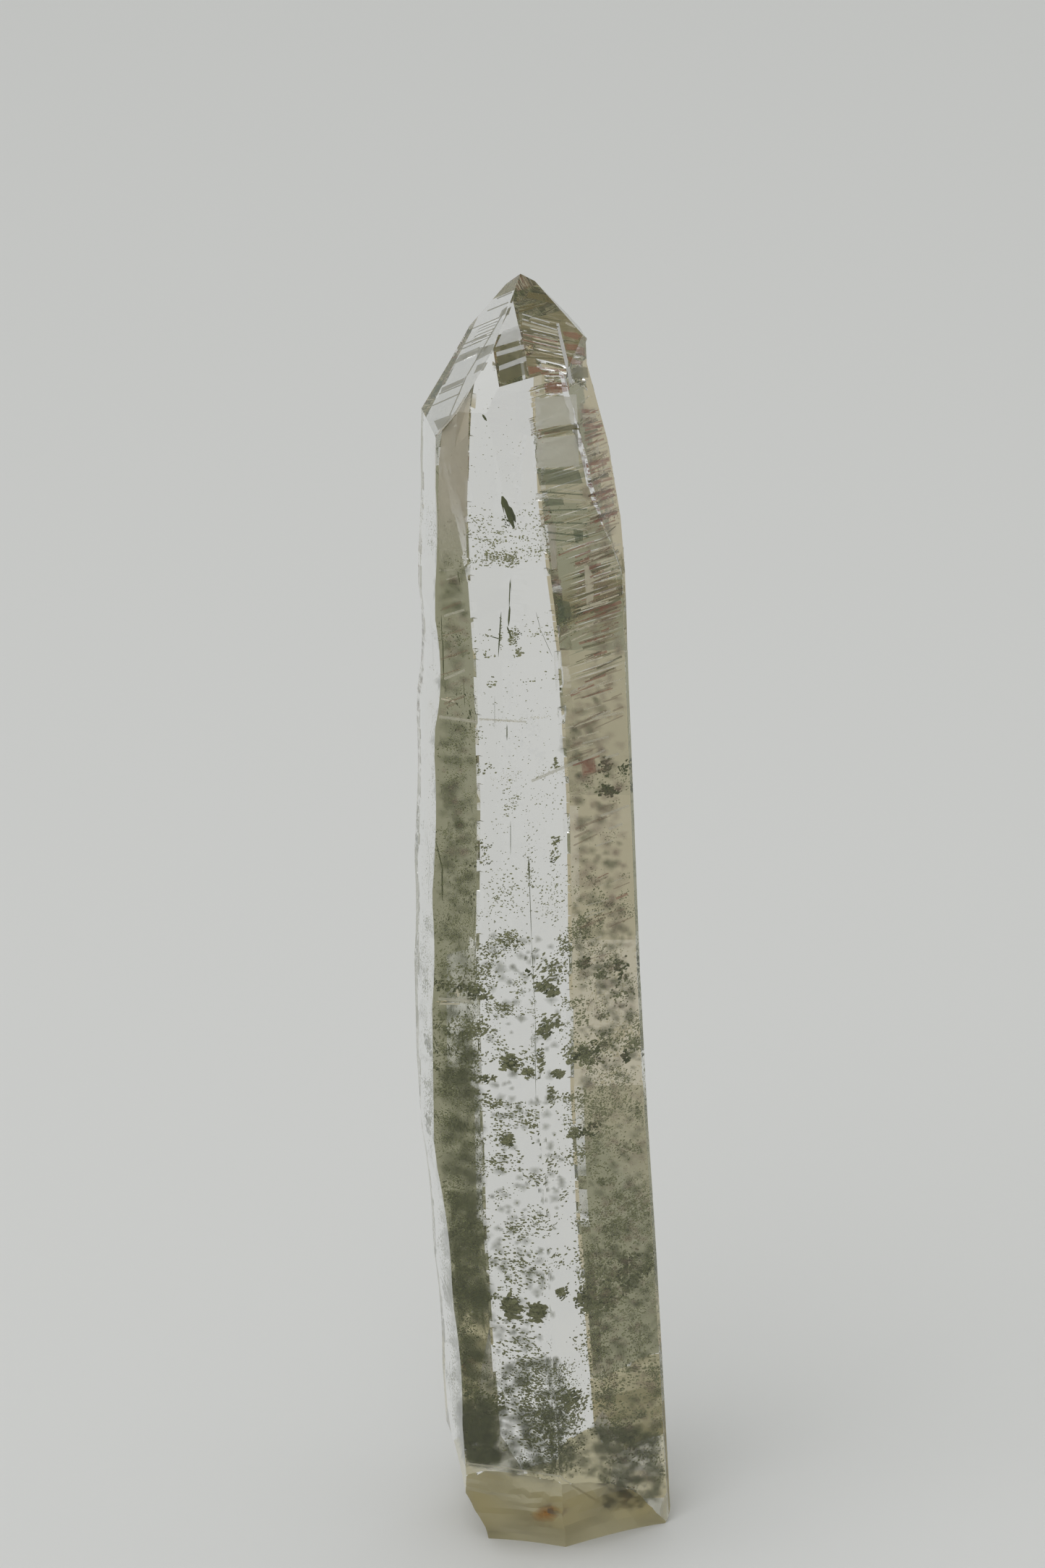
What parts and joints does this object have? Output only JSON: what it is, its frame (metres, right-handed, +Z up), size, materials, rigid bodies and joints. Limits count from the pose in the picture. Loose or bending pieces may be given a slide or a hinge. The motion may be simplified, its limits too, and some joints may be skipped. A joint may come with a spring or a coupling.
{
  "type": "quartz crystal with epidote",
  "caption": "Slender clear quartz point with green epidote inclusions, stepped growth on one shoulder and a chipped foot cut flat to stand on.",
  "frame": {"origin": "where the crystal's c axis meets the flat cut that it stands on", "axes": "+Z up along the c axis to the tip, -Y to the front, which is the side that the picture shows, +X to its right"},
  "size_m": [0.0153, 0.0165, 0.086],
  "materials": {
    "clear_quartz": "natural crystal faces, clear, faintly smoky",
    "epidote": "small dark green blades and flakes inside the quartz",
    "chlorite_cloud": "soft olive green flakes in drifts inside the quartz",
    "healed_crack": "thin pale and golden veils of healed cracks",
    "iron_stain": "rusty film in the broken foot and on the stepped shoulder"
  },
  "bodies": {
    "root": {"quartz_crystal": "clear_quartz"}
  },
  "joints": []
}
